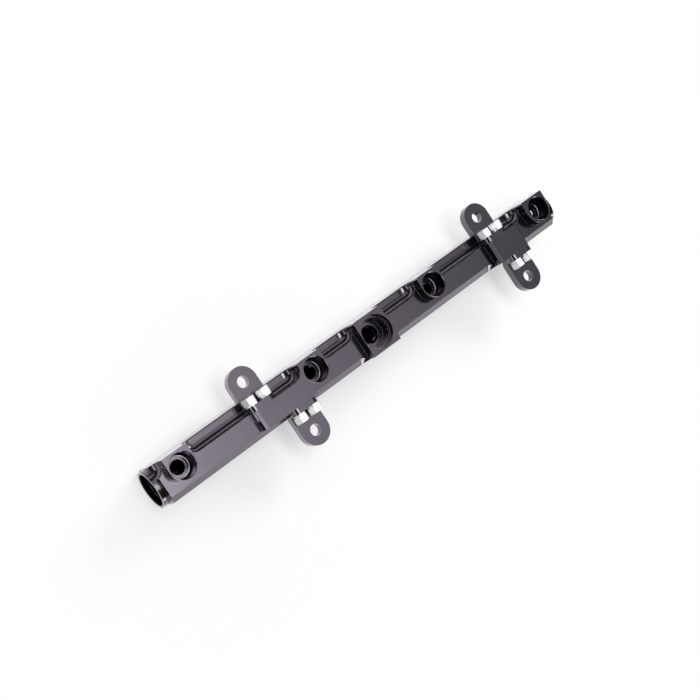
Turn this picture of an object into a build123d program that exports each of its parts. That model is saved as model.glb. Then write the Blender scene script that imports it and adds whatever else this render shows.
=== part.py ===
"""Four-cylinder fuel rail with bolt-on mounting brackets.

Millimetres. X runs along the rail, Y across it, +Z is the injector side.
The origin is on the flat underside, midway between the two inner injectors.
"""
import os
from math import sqrt

from build123d import *

# ---- rail -----------------------------------------------------------------
injector_pitch = 88.0
left_reach = 15.0
right_reach = 16.3
left_stub = 3.0
right_stub = 6.7
body_back = 10.95
body_front = -10.8
cup_line_y = 2.65
top_z = 32.0
flat_z = 25.5
flow_z = 11.0
stub_d = 21.5
flow_d = 12.0
front_chamfer = 3.1
foot_chamfer = 1.5

# ---- injector cups ----------------------------------------------------------
cup_d = 13.65
cup_depth = 10.0
cup_floor_r = 1.0
cup_outlet_d = 8.0
cup_mouth = 0.35
boss_half_width = 7.7
boss_drop = 0.4
end_boss_left = 9.1

# ---- threaded ports ---------------------------------------------------------
port_d = 16.5
seal_step = 1.25
seal_depth = 3.4
port_depth = 14.0
centre_port_x = -1.7
centre_boss_left = -11.5
centre_boss_right = 7.9
centre_port_depth = 10.0
centre_outlet_d = 10.4

# ---- side cove --------------------------------------------------------------
cove_wall_y = 3.15
cove_floor_z = 19.0
cove_plan_r = 6.0
cove_base_r = 5.2
cove_lip_r = 0.9

# ---- bracket blocks ---------------------------------------------------------
block_a_start = 41.2
block_a_front = -8.05
block_b_start = 45.5
block_b_length = 22.9
block_edge = 1.4
block_side_edge = 0.6
web_r = 4.0

# ---- brackets ---------------------------------------------------------------
bracket_t = 3.2
ear_t = 5.0
ear_w = 16.6
ear_reach = 15.7
ear_hole_d = 6.5
ear_top_z = 24.5
pocket_gap = 0.6
bracket_a_back = 34.9
bracket_a_front = 16.2
bracket_b_back = 53.2
bracket_b_front = 61.3

# ---- screws -----------------------------------------------------------------
screw_d = 4.0
screw_gap = 0.2
thread_gap = 0.1
screw_len = 10.0
screw_drop = 3.75
head_af = 7.0
head_h = 3.6
head_edge = 0.45
washer_d = 7.2
washer_t = 1.2
washer_split = 1.0
tap_extra = 0.6

# ---- derived ----------------------------------------------------------------
screw_z = top_z - screw_drop
ear_bottom_z = ear_top_z - ear_t
tap_depth = screw_len - bracket_t - washer_t + tap_extra
cup_x = [injector_pitch * (i - 1.5) for i in range(4)]
rail_left = cup_x[0] - left_reach
rail_right = cup_x[3] + right_reach
body_left = rail_left + left_stub
body_right = rail_right - right_stub
block_a_left = cup_x[1] - block_a_start
block_a_right = cup_x[1] - boss_half_width
block_b_left = cup_x[2] + block_b_start
block_b_right = block_b_left + block_b_length
bracket_a_back_x = cup_x[1] - bracket_a_back
bracket_a_front_x = cup_x[1] - bracket_a_front
bracket_b_back_x = cup_x[2] + bracket_b_back
bracket_b_front_x = cup_x[2] + bracket_b_front
seal_d = port_d + 2 * seal_step
bracket_bend_r = cove_base_r
screw_pitch = ear_w - washer_d


def block(x0, x1, y0, y1, z0, z1):
    """Rectangular block between two opposite corners."""
    size = Box(x1 - x0, y1 - y0, z1 - z0)
    return Pos((x0 + x1) / 2, (y0 + y1) / 2, (z0 + z1) / 2) * size


def drill(x, y, z_top, depth, d):
    """Vertical cylinder reaching down from z_top."""
    return Pos(x, y, z_top - depth / 2) * Cylinder(d / 2, depth)


def along_x(x0, x1, y, z, d):
    """Cylinder lying along X."""
    return Pos((x0 + x1) / 2, y, z) * Rot(0, 90, 0) * Cylinder(d / 2, abs(x1 - x0))


def taper_x(x0, x1, y, z, d0, d1):
    """Cone lying along X, of diameter d0 at x0 and d1 at x1."""
    return Pos((x0 + x1) / 2, y, z) * Rot(0, 90, 0) * Cone(d0 / 2, d1 / 2, x1 - x0)


def d_boss(left, right):
    """Boss that is square towards the back and round towards the front."""
    r = (right - left) / 2
    mid = (left + right) / 2
    y0 = cup_line_y - boss_half_width + r - boss_drop
    round_end = Pos(mid, y0, (flow_z + top_z) / 2) * Cylinder(r, top_z - flow_z)
    round_end = round_end & block(left, right, y0 - r, y0, flow_z, top_z)
    return round_end + block(left, right, y0, body_back, flow_z, top_z)


def cove(x0, x1, round_left, round_right):
    """Bull-nosed cutter for one stretch of the side cove."""
    reach = body_back + 6
    tool = block(x0, x1, cove_wall_y, reach, cove_floor_z, top_z + 8)
    corners = []
    if round_left:
        corners.append(x0)
    if round_right:
        corners.append(x1)
    upright = [
        e for e in tool.edges().filter_by(Axis.Z)
        if abs(e.center().Y - cove_wall_y) < 0.01
        and any(abs(e.center().X - c) < 0.01 for c in corners)
    ]
    tool = fillet(upright, cove_plan_r)
    base = [
        e for e in tool.edges()
        if abs(e.bounding_box().max.Z - cove_floor_z) < 0.01
        and e.center().Y < reach - 0.01
    ]
    base = [e for e in base if round_left or e.center().X > x0 + 0.01]
    base = [e for e in base if round_right or e.center().X < x1 - 0.01]
    return fillet(base, cove_base_r)


def edge_mill(x0, x1, round_left, round_right):
    """Chamfer along the front edge of the flats, with conical run-outs."""
    tip_r = 1.5
    z0 = flat_z - front_chamfer
    y0 = body_front - tip_r
    shape = Polyline(
        (0, y0 - 2, z0),
        (0, body_front, z0),
        (0, body_front + front_chamfer, flat_z),
        (0, body_front + front_chamfer, flat_z + 0.001),
        (0, y0 - 2, flat_z + 0.001),
        close=True,
    )
    mill = extrude(make_face(shape), x1 - x0, dir=(1, 0, 0))
    mill = Pos(x0, 0, 0) * mill
    cone = Cone(tip_r, tip_r + front_chamfer, front_chamfer)
    if round_left:
        mill += Pos(x0, y0, z0 + front_chamfer / 2) * cone
    if round_right:
        mill += Pos(x1, y0, z0 + front_chamfer / 2) * cone
    return mill


def make_rail():
    """Machined rail body."""
    body = block(body_left, body_right, body_front, body_back, 0, flat_z)
    foot = body.edges().filter_by(Axis.X).group_by(Axis.Z)[0]
    body = chamfer(foot, foot_chamfer)

    rail = body
    rail += along_x(rail_left, rail_right, 0, flow_z, stub_d)
    for x in cup_x[:3]:
        rail += d_boss(x - boss_half_width, x + boss_half_width)
    rail += d_boss(cup_x[3] - end_boss_left, cup_x[3] + boss_half_width)
    rail += block(centre_boss_left, centre_boss_right, body_front, body_back, flow_z, top_z)
    rail += block(block_a_left, block_a_right, block_a_front, body_back, flow_z, top_z)
    rail += block(block_b_left, block_b_right, body_front, body_back, flow_z, top_z)

    # block A blends into the round front of the boss beside it
    boss_y = cup_line_y - boss_drop
    web_x = block_a_right + web_r
    web_y = boss_y - sqrt((boss_half_width + web_r) ** 2 - (cup_x[1] - web_x) ** 2)
    share = boss_half_width / (boss_half_width + web_r)
    touch_x = cup_x[1] - (cup_x[1] - web_x) * share
    web = block(block_a_right - 1, touch_x, block_a_front, boss_y, flow_z, top_z)
    web -= Pos(web_x, web_y, flat_z) * Cylinder(web_r, 3 * (top_z - flow_z))
    rail += web
    rail = break_edges(rail)

    stops = [
        (rail_left - 10, cup_x[0] - boss_half_width, False, True),
        (cup_x[0] + boss_half_width, cup_x[1] - boss_half_width, True, True),
        (cup_x[1] + boss_half_width, centre_boss_left, True, True),
        (centre_boss_right, cup_x[2] - boss_half_width, True, True),
        (cup_x[2] + boss_half_width, cup_x[3] - end_boss_left, True, True),
    ]
    for x0, x1, a, b in stops:
        rail -= cove(x0, x1, a, b)
    lips = [
        e for e in rail.edges().filter_by(Axis.X)
        if abs(e.center().Y - body_back) < 0.01 and abs(e.center().Z - cove_floor_z) < 0.01
    ]
    rail = fillet(lips, cove_lip_r)

    # front chamfer, broken by the centre boss and block B
    rail -= edge_mill(body_left - 5, centre_boss_left - 4.8, False, True)
    rail -= edge_mill(centre_boss_right + 4.8, block_b_left - 4.8, True, True)
    rail -= edge_mill(block_b_right + 0.001, body_right + 5, False, False)

    # pocket that lets the front bracket of block A reach its seat
    w = ear_w / 2 + pocket_gap
    x = bracket_a_front_x
    rail -= block(
        x - w, x + w, body_front - 5, block_a_front, ear_bottom_z - pocket_gap / 2, top_z + 5
    )

    # flow bore and end ports, each with a wider seat for its seal
    rail -= along_x(rail_left - 1, rail_right + 1, 0, flow_z, flow_d)
    for end, inward in ((rail_left, 1), (rail_right, -1)):
        rail -= along_x(end - inward, end + inward * port_depth, 0, flow_z, port_d)
        rail -= along_x(end - inward, end + inward * seal_depth, 0, flow_z, seal_d)

    # injector cups with a rounded floor
    for x in cup_x:
        cup = drill(0, 0, 1, cup_depth + 1, cup_d)
        cup = fillet(cup.edges().group_by(Axis.Z)[0], cup_floor_r)
        cup += drill(0, 0, 0, top_z - flow_z, cup_outlet_d)
        cup += Pos(0, 0, -cup_mouth / 2) * Cone(cup_d / 2, cup_d / 2 + cup_mouth, cup_mouth)
        rail -= Pos(x, cup_line_y, top_z) * cup

    # centre port
    rail -= drill(centre_port_x, 0, top_z + 1, centre_port_depth + 1, port_d)
    rail -= drill(centre_port_x, 0, top_z + 1, seal_depth + 1, seal_d)
    rail -= drill(centre_port_x, 0, top_z, top_z - flow_z, centre_outlet_d)

    # tapped holes for the bracket screws
    for x, face_y, side in seats():
        for dx in (-screw_pitch / 2, screw_pitch / 2):
            y0 = face_y - side * tap_depth
            rail -= Pos(x + dx, (y0 + face_y) / 2, screw_z) * Rot(90, 0, 0) * Cylinder(
                screw_d / 2 + thread_gap / 2, tap_depth
            )
    return rail


def break_edges(rail):
    """Wide chamfer on the left edge of each block, small ones round the other tops."""
    top = [e for e in rail.edges() if abs(e.bounding_box().min.Z - top_z) < 0.01]
    wide = [
        e for e in top
        if abs(e.center().X - block_a_left) < 0.01 or abs(e.center().X - block_b_left) < 0.01
    ]
    rail = chamfer(wide, block_edge)
    side = [
        e for e in rail.edges()
        if abs(e.bounding_box().min.Z - top_z) < 0.01
        and abs(e.center().X - block_b_right) < 0.01
    ]
    return chamfer(side, block_side_edge)


def seats():
    """Bracket positions: X, seat face and the side it looks to."""
    return [
        (bracket_a_back_x, cove_wall_y, 1),
        (bracket_a_front_x, block_a_front, -1),
        (bracket_b_back_x, cove_wall_y, 1),
        (bracket_b_front_x, body_front, -1),
    ]


def bracket(x, face_y, side):
    """L-shaped bracket: a flange against the seat and a round-ended ear."""
    tip = ear_reach
    ear = block(-ear_w / 2, ear_w / 2, 0, tip, ear_bottom_z, ear_top_z)
    ear += Pos(0, tip, ear_top_z - ear_t / 2) * Cylinder(ear_w / 2, ear_t)
    flange = block(-ear_w / 2, ear_w / 2, 0, bracket_t, ear_bottom_z, top_z)
    tops = [
        e for e in flange.edges().filter_by(Axis.Y)
        if abs(e.center().Z - top_z) < 0.01
    ]
    flange = fillet(tops, washer_d / 2)
    plate = ear + flange
    # rounded outer corner of the bend
    r = bracket_bend_r
    cut = block(-ear_w, ear_w, -1, r, ear_bottom_z - 1, ear_bottom_z + r)
    cut -= Pos(0, r, ear_bottom_z + r) * Rot(0, 90, 0) * Cylinder(r, 3 * ear_w)
    plate -= cut
    plate -= drill(0, tip, ear_top_z + 1, ear_t + 2, ear_hole_d)
    for dx in (-screw_pitch / 2, screw_pitch / 2):
        plate -= Pos(dx, bracket_t / 2, screw_z) * Rot(90, 0, 0) * Cylinder(
            screw_d / 2 + screw_gap, bracket_t + 2
        )
    if side < 0:
        plate = Rot(0, 0, 180) * plate
    return Pos(x, face_y, 0) * plate


def screw():
    """Hexagon-head screw along +Y, its bearing face at Y = 0."""
    hexagon = RegularPolygon(head_af / 2, 6, major_radius=False, rotation=0)
    head = extrude(Plane.XZ * hexagon, -head_h)
    corner_r = head_af / sqrt(3)
    trim = Cylinder(corner_r + 1, head_h * 2)
    bevel = Cone(corner_r + 1, corner_r - head_edge, head_edge * 2.2)
    keep = Cylinder(corner_r + 1, head_h - head_edge * 2.2)
    keep = Pos(0, 0, (head_h - head_edge * 2.2) / 2) * keep
    keep += Pos(0, 0, head_h - head_edge * 1.1) * bevel
    head = head & (Rot(-90, 0, 0) * keep)
    shank_d = screw_d - thread_gap
    tip = 0.5
    shank = Cylinder(shank_d / 2, screw_len - tip)
    shank = Pos(0, 0, -(screw_len - tip) / 2) * shank
    shank += Pos(0, 0, -screw_len + tip / 2) * Cone(shank_d / 2 - tip, shank_d / 2, tip)
    return head + Rot(-90, 0, 0) * shank


def lock_washer():
    """Split lock washer around +Y, its inner face at Y = 0."""
    ring = Cylinder(washer_d / 2, washer_t) - Cylinder(screw_d / 2 + screw_gap / 2, washer_t + 1)
    gap = Pos(washer_d / 3, 0, 0) * Rot(35, 0, 0) * Box(washer_d / 1.5, washer_split, 3 * washer_t)
    ring -= gap
    return Pos(0, washer_t / 2, 0) * Rot(-90, 0, 0) * ring


def place(shape, x, y, side):
    """Put a +Y fastener on a seat that looks to +Y or to -Y."""
    if side < 0:
        shape = Rot(0, 0, 180) * shape
    return Pos(x, y, screw_z) * shape


def one(shape):
    """The single solid of a finished piece."""
    solids = shape.solids()
    assert len(solids) == 1, len(solids)
    return solids[0]


os.makedirs("parts", exist_ok=True)
rail_body = one(make_rail())
export_step(rail_body, "parts/rail_body.step")
names = ["a_back", "a_front", "b_back", "b_front"]
for name, (x, face_y, side) in zip(names, seats()):
    export_step(one(bracket(x, face_y, side)), "parts/bracket_" + name + ".step")
    outer = face_y + side * bracket_t
    for n, dx in enumerate((-screw_pitch / 2, screw_pitch / 2)):
        label = name + "_" + str(n + 1)
        washer = place(lock_washer(), x + dx, outer, side)
        export_step(one(washer), "parts/lock_washer_" + label + ".step")
        bolt = place(screw(), x + dx, outer + side * washer_t, side)
        export_step(one(bolt), "parts/screw_" + label + ".step")
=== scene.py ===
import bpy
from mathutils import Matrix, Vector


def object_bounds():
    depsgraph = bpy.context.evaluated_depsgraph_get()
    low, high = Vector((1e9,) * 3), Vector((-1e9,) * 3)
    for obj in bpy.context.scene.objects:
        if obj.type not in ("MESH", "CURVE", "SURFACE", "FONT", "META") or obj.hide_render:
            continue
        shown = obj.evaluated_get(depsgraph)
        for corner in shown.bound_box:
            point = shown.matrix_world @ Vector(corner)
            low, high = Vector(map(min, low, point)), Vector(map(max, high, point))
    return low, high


bl_info = {
    "name": "Fuel Rail Dresser",
    "version": (1, 0, 0),
    "blender": (4, 5, 0),
    "location": "View3D > Sidebar > Fuel Rail",
    "description": "Finishes and stages an anodised four-cylinder fuel rail",
    "category": "Object",
}

from math import pi, radians

import bpy
from bpy.props import FloatProperty, FloatVectorProperty, PointerProperty, StringProperty
from bpy.types import Operator, Panel, PropertyGroup

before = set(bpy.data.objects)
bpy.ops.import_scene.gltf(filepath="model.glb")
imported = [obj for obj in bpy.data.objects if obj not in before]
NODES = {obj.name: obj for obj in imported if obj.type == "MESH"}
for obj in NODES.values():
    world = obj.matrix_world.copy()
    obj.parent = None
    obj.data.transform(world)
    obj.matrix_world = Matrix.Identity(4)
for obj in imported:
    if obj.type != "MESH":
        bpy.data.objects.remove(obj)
CAD_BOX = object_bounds()
MM = 0.001

# radius of a deburred edge
EDGE_BREAK = 0.25 * MM
# how far a metal's roughness swings either way over its tool marks
ROUGH_SWING = 0.04
# noise mostly stays between these two values
NOISE_LOW = 0.3
NOISE_HIGH = 0.7

# the paper lies just below the rail and reaches this far from its middle
PAPER_REACH = 6.0
PAPER_DROP = 0.2 * MM
# it takes the light inside an oval, set a little to the front, and is plain white outside it
PAPER_LIT_X = 260 * MM
PAPER_LIT_Y = 150 * MM
PAPER_LIT_FRONT = 25 * MM
# the share of plain white in the oval's middle, and the part of the way to its rim where that begins to grow
PAPER_GLOW = 0.5
PAPER_FADE_START = 0.35

# lamps that look down hang at one height, and the ceiling panels begin where the overhead softbox ends
LAMP_HEIGHT = 2.5
KEY_EDGE = 0.44
KEY_WIDTH = 0.8
CEILING_PANELS = 7
CEILING_PANEL_WIDTH = 0.3
CEILING_DEPTH = 1.5
CEILING_FADE = 1.5

# the camera's sensor width in millimetres, and the distance within which it sees nothing
SENSOR_WIDTH = 36
NEAREST_SEEN = 0.01

BRACKETS = [name for name in NODES if name.startswith("bracket_")]
SCREWS = [name for name in NODES if name.startswith("screw_")]
WASHERS = [name for name in NODES if name.startswith("lock_washer_")]


# ---------------------------------------------------------------- helpers

def linear(code):
    """sRGB hex colour, such as 4b4450, as linear RGBA."""
    channels = [int(code[i:i + 2], 16) / 255 for i in (0, 2, 4)]
    return [c / 12.92 if c <= 0.04045 else ((c + 0.055) / 1.055) ** 2.4 for c in channels] + [1.0]


def add_node(tree, kind, settings=None, links=None, **inputs):
    """Adds one shader node: settings are its attributes, inputs its values, links its wires."""
    node = tree.nodes.new(kind)
    for name, value in (settings or {}).items():
        setattr(node, name, value)
    for name, value in inputs.items():
        node.inputs[name.replace("_", " ")].default_value = value
    for name, source in (links or {}).items():
        tree.links.new(source, node.inputs[name])
    return node


def new_material(name):
    """An empty node material, its tree and its output node."""
    material = bpy.data.materials.new(name)
    material.use_nodes = True
    tree = material.node_tree
    tree.nodes.clear()
    return material, tree, tree.nodes.new("ShaderNodeOutputMaterial")


def dress(names, material):
    """Gives CAD nodes their finish."""
    for name in names:
        for slot in NODES[name].material_slots:
            slot.material = material


# --------------------------------------------------------------- settings

class RailSettings(PropertyGroup):
    dye: StringProperty(name="Anodise dye", description="Colour of the dyed oxide", default="4b4450")
    satin: FloatProperty(
        name="Satin", description="Roughness of the anodised faces", default=0.17, min=0, max=1,
        subtype="FACTOR")
    steel: StringProperty(name="Steel", description="Colour of the plated screws", default="f0f0f0")


class StageSettings(PropertyGroup):
    lens: FloatProperty(name="Lens", description="Focal length", default=61.337, unit="CAMERA")
    eye: FloatVectorProperty(
        name="Camera place", description="Where the camera stands", unit="LENGTH",
        default=(-0.29614, 0.05423, 0.59973))
    turn: FloatVectorProperty(
        name="Camera turn", description="Camera rotation about X, Y and Z", subtype="EULER",
        default=(radians(11.184), radians(-23.889), radians(-37.125)))
    key: FloatProperty(
        name="Key light", description="Brightness of the overhead softbox's face", default=7.0)
    ceiling: FloatProperty(
        name="Ceiling", description="Brightness of the first of the panels that fade to the right",
        default=1.5)
    fill: FloatProperty(
        name="Fill light", description="Brightness of the lamps behind the rail", default=0.85)
    side: FloatProperty(
        name="Side light", description="Brightness of the low board at the left end", default=2.6)
    right: FloatProperty(
        name="Right panel", description="Brightness of the panel that throws the shadows", default=12.0)
    front: FloatProperty(
        name="Front board", description="Brightness of the low board before the rail", default=6.0)
    room: FloatProperty(name="Room", description="Brightness of the room", default=0.08)


# -------------------------------------------------------------- materials

def noise(tree, place, size, stretch=(1, 1, 1), detail=2, rough=0.5):
    """Soft noise with features of the given size in millimetres, stretched along X, Y and Z."""
    scaled = add_node(tree, "ShaderNodeMapping", None, {0: place}, Scale=[1 / factor for factor in stretch])
    return add_node(tree, "ShaderNodeTexNoise", None, {0: scaled.outputs[0]},
                    Scale=1 / (size * MM), Detail=detail, Roughness=rough).outputs[0]


def spread(tree, source, low, high):
    """Turns noise into values from low to high."""
    return add_node(tree, "ShaderNodeMapRange", None, {0: source},
                    From_Min=NOISE_LOW, From_Max=NOISE_HIGH, To_Min=low, To_Max=high).outputs[0]


def worked_metal(name, colour, rough, patch_size, patch_tone, mark_size, mark_depth, mark_stretch=(1, 1, 1)):
    """Metal as a tool left it: patches of tone, marks and broken edges, with sizes in millimetres."""
    material, tree, output = new_material(name)
    place = add_node(tree, "ShaderNodeTexCoord").outputs["Object"]
    # tool marks, too fine to see one by one, take the hard look off every reflection
    marks = noise(tree, place, mark_size, mark_stretch)
    # an uneven tone keeps a flat face from looking printed
    patches = noise(tree, place, patch_size, detail=6, rough=0.75)
    tone = add_node(tree, "ShaderNodeHueSaturation", None,
                    {"Value": spread(tree, patches, 1 - patch_tone, 1 + patch_tone)}, Color=linear(colour))
    # the broken edge catches a thin line of light
    edge = add_node(tree, "ShaderNodeBevel", {"samples": 4}, Radius=EDGE_BREAK)
    bump = add_node(tree, "ShaderNodeBump", None, {"Height": marks, "Normal": edge.outputs[0]},
                    Strength=1.0, Distance=mark_depth * MM)
    metal = add_node(tree, "ShaderNodeBsdfPrincipled", None,
                     {"Base Color": tone.outputs[0], "Normal": bump.outputs[0],
                      "Roughness": spread(tree, marks, rough - ROUGH_SWING, rough + ROUGH_SWING)},
                     Metallic=1.0)
    tree.links.new(metal.outputs[0], output.inputs[0])
    return material, metal, bump


def black_anodised_aluminium(name, dye, satin, **marks):
    """A dark satin mirror below the clear glassy layer of the dyed oxide."""
    material, metal, bump = worked_metal(name, dye, satin, patch_size=35, patch_tone=0.14, **marks)
    # the clear oxide adds the whitish sheen at a low angle
    metal.inputs["Coat Weight"].default_value = 1.0
    metal.inputs["Coat IOR"].default_value = 1.6
    metal.inputs["Coat Roughness"].default_value = satin
    material.node_tree.links.new(bump.outputs[0], metal.inputs["Coat Normal"])
    return material


def milled_anodised_aluminium(dye, satin):
    """Cutter lines that run along the rail, and keep its long faces from mirroring sharply."""
    return black_anodised_aluminium("milled_anodised_aluminium", dye, satin,
                                    mark_size=0.3, mark_depth=0.002, mark_stretch=(40, 1, 1))


def blasted_anodised_aluminium(dye, satin):
    """The even grain of bead blasting, the same in every direction."""
    return black_anodised_aluminium("blasted_anodised_aluminium", dye, satin,
                                    mark_size=0.35, mark_depth=0.004)


def zinc_plated_steel(colour):
    """Cold-headed steel under bright zinc, mottled as plating is."""
    return worked_metal("zinc_plated_steel", colour, rough=0.48, patch_size=1.2, patch_tone=0.06,
                        mark_size=0.5, mark_depth=0.006)[0]


def white_paper():
    """Seamless paper: matt round the rail, where it takes the shadow, and plain white further out."""
    material, tree, output = new_material("white_paper")
    place = add_node(tree, "ShaderNodeTexCoord")
    # 0 in the oval's middle and 1 on its rim
    ring = add_node(tree, "ShaderNodeVectorMath", {"operation": "MULTIPLY_ADD"}, {0: place.outputs["Object"]})
    ring.inputs[1].default_value = (1 / PAPER_LIT_X, 1 / PAPER_LIT_Y, 0)
    ring.inputs[2].default_value = (0, PAPER_LIT_FRONT / PAPER_LIT_Y, 0)
    far = add_node(tree, "ShaderNodeVectorMath", {"operation": "LENGTH"}, {0: ring.outputs[0]})
    far = add_node(tree, "ShaderNodeMapRange", {"interpolation_type": "SMOOTHSTEP"},
                   {0: far.outputs["Value"]},
                   From_Min=PAPER_FADE_START, From_Max=1.0, To_Min=PAPER_GLOW, To_Max=1.0)
    # plain white is for the camera and for reflections, and the light on the rail comes off matt paper
    rays = add_node(tree, "ShaderNodeLightPath")
    shine = add_node(tree, "ShaderNodeMath", {"operation": "MAXIMUM"},
                     {0: rays.outputs["Is Glossy Ray"], 1: rays.outputs["Is Transmission Ray"]})
    seen = add_node(tree, "ShaderNodeMath", {"operation": "MAXIMUM"},
                    {0: shine.outputs[0], 1: rays.outputs["Is Camera Ray"]})
    share = add_node(tree, "ShaderNodeMath", {"operation": "MULTIPLY"},
                     {0: seen.outputs[0], 1: far.outputs["Result"]})
    paper = add_node(tree, "ShaderNodeBsdfDiffuse", Color=linear("fbfbfd"))
    glow = add_node(tree, "ShaderNodeEmission", Color=(1, 1, 1, 1), Strength=1.0)
    mix = add_node(tree, "ShaderNodeMixShader", None,
                   {0: share.outputs[0], 1: paper.outputs[0], 2: glow.outputs[0]})
    tree.links.new(mix.outputs[0], output.inputs[0])
    return material


def dim_room(room):
    """An evenly dim studio round the lamps."""
    world = bpy.data.worlds.new("studio")
    world.use_nodes = True
    tree = world.node_tree
    tree.nodes.clear()
    sky = add_node(tree, "ShaderNodeBackground", None, None, Color=linear("f6f3fc"), Strength=room)
    add_node(tree, "ShaderNodeOutputWorld", None, {0: sky.outputs[0]})
    return world


# ------------------------------------------------------------------ stage

def lay_paper():
    """The sheet of paper that the rail stands on."""
    corners = [(x * PAPER_REACH, y * PAPER_REACH, 0) for x, y in ((-1, -1), (1, -1), (1, 1), (-1, 1))]
    mesh = bpy.data.meshes.new("floor")
    mesh.from_pydata(corners, [], [(0, 1, 2, 3)])
    mesh.materials.append(white_paper())
    floor = bpy.data.objects.new("floor", mesh)
    floor.location.z = CAD_BOX[0][2] - PAPER_DROP
    bpy.context.scene.collection.objects.link(floor)


def softbox(name, place, width, depth, brightness, turn=(0, 0, 0)):
    """A rectangular lamp, its face as bright as given. It looks straight down, unless turned by degrees."""
    data = bpy.data.lights.new(name, "AREA")
    data.shape = "RECTANGLE"
    data.size = width
    data.size_y = depth
    data.energy = brightness * pi * width * depth
    lamp = bpy.data.objects.new(name, data)
    lamp.location = place
    lamp.rotation_euler = [radians(angle) for angle in turn]
    bpy.context.scene.collection.objects.link(lamp)


def hang_lamps(stage):
    """The overhead softbox, the ceiling that fades beside it, and the lamps behind and beside the rail."""
    softbox("overhead_softbox", (KEY_EDGE - KEY_WIDTH / 2, 0, LAMP_HEIGHT),
            KEY_WIDTH, CEILING_DEPTH, stage.key)
    for step in range(CEILING_PANELS):
        panel_x = KEY_EDGE + (step + 0.5) * CEILING_PANEL_WIDTH
        fade = (1 - step / CEILING_PANELS) ** CEILING_FADE
        softbox("ceiling_panel", (panel_x, 0, LAMP_HEIGHT),
                CEILING_PANEL_WIDTH, CEILING_DEPTH, stage.ceiling * fade)
    softbox("back_softbox", (0.47, 1.26, LAMP_HEIGHT),
            width=1.4, depth=1.0, brightness=stage.fill)
    softbox("back_panel", (0, 2.66, LAMP_HEIGHT),
            width=4.2, depth=1.8, brightness=stage.fill)
    softbox("right_panel", (2.05, 0.7, 1.25),
            width=0.9, depth=1.2, brightness=stage.right, turn=(0, 60, 19))
    softbox("left_board", (-2.0, 0, 0.95),
            width=0.7, depth=1.4, brightness=stage.side, turn=(0, -65, 0))
    softbox("front_board", (0.9, -2.5, 0.26),
            width=3.2, depth=0.5, brightness=stage.front, turn=(90, 0, 0))


def set_camera(stage):
    """A camera that looks down on the rail at a slant."""
    data = bpy.data.cameras.new("camera")
    data.lens = stage.lens
    data.sensor_width = SENSOR_WIDTH
    data.clip_start = NEAREST_SEEN
    camera = bpy.data.objects.new("camera", data)
    camera.location = stage.eye
    camera.rotation_euler = stage.turn
    bpy.context.scene.collection.objects.link(camera)
    bpy.context.scene.camera = camera


# -------------------------------------------------------------- operators

class RAIL_OT_body(Operator):
    """Finishes the rail body"""
    bl_idname = "fuel_rail.body"
    bl_label = "Rail body"

    def execute(self, context):
        settings = context.scene.fuel_rail
        dress(["rail_body"], milled_anodised_aluminium(settings.dye, settings.satin))
        return {"FINISHED"}


class RAIL_OT_brackets(Operator):
    """Finishes the four brackets"""
    bl_idname = "fuel_rail.brackets"
    bl_label = "Brackets"

    def execute(self, context):
        settings = context.scene.fuel_rail
        dress(BRACKETS, blasted_anodised_aluminium(settings.dye, settings.satin))
        return {"FINISHED"}


class RAIL_OT_screws(Operator):
    """Finishes the hex screws and their lock washers"""
    bl_idname = "fuel_rail.screws"
    bl_label = "Screws and washers"

    def execute(self, context):
        dress(SCREWS + WASHERS, zinc_plated_steel(context.scene.fuel_rail.steel))
        return {"FINISHED"}


class RAIL_OT_stage(Operator):
    """Builds the white floor, the soft lights and the camera"""
    bl_idname = "fuel_rail.stage"
    bl_label = "Stage"

    def execute(self, context):
        stage = context.scene.rail_stage
        lay_paper()
        context.scene.world = dim_room(stage.room)
        hang_lamps(stage)
        set_camera(stage)
        context.scene.view_settings.view_transform = "Standard"
        return {"FINISHED"}


class RAIL_PT_panel(Panel):
    """Lists the rail's settings and steps in the sidebar"""
    bl_idname = "RAIL_PT_panel"
    bl_label = "Fuel Rail"
    bl_space_type = "VIEW_3D"
    bl_region_type = "UI"
    bl_category = "Fuel Rail"

    def draw(self, context):
        for group in (context.scene.fuel_rail, context.scene.rail_stage):
            for name in group.bl_rna.properties.keys():
                if name not in ("rna_type", "name"):
                    self.layout.prop(group, name)
        for operator in OPERATORS:
            self.layout.operator(operator.bl_idname)


OPERATORS = (RAIL_OT_body, RAIL_OT_brackets, RAIL_OT_screws, RAIL_OT_stage)
CLASSES = (RailSettings, StageSettings) + OPERATORS + (RAIL_PT_panel,)


def register():
    for cls in CLASSES:
        bpy.utils.register_class(cls)
    bpy.types.Scene.fuel_rail = PointerProperty(type=RailSettings)
    bpy.types.Scene.rail_stage = PointerProperty(type=StageSettings)


def unregister():
    del bpy.types.Scene.rail_stage
    del bpy.types.Scene.fuel_rail
    for cls in reversed(CLASSES):
        bpy.utils.unregister_class(cls)


def main():
    register()
    bpy.ops.fuel_rail.body()
    bpy.ops.fuel_rail.brackets()
    bpy.ops.fuel_rail.screws()
    bpy.ops.fuel_rail.stage()


if __name__ == "__main__":
    main()
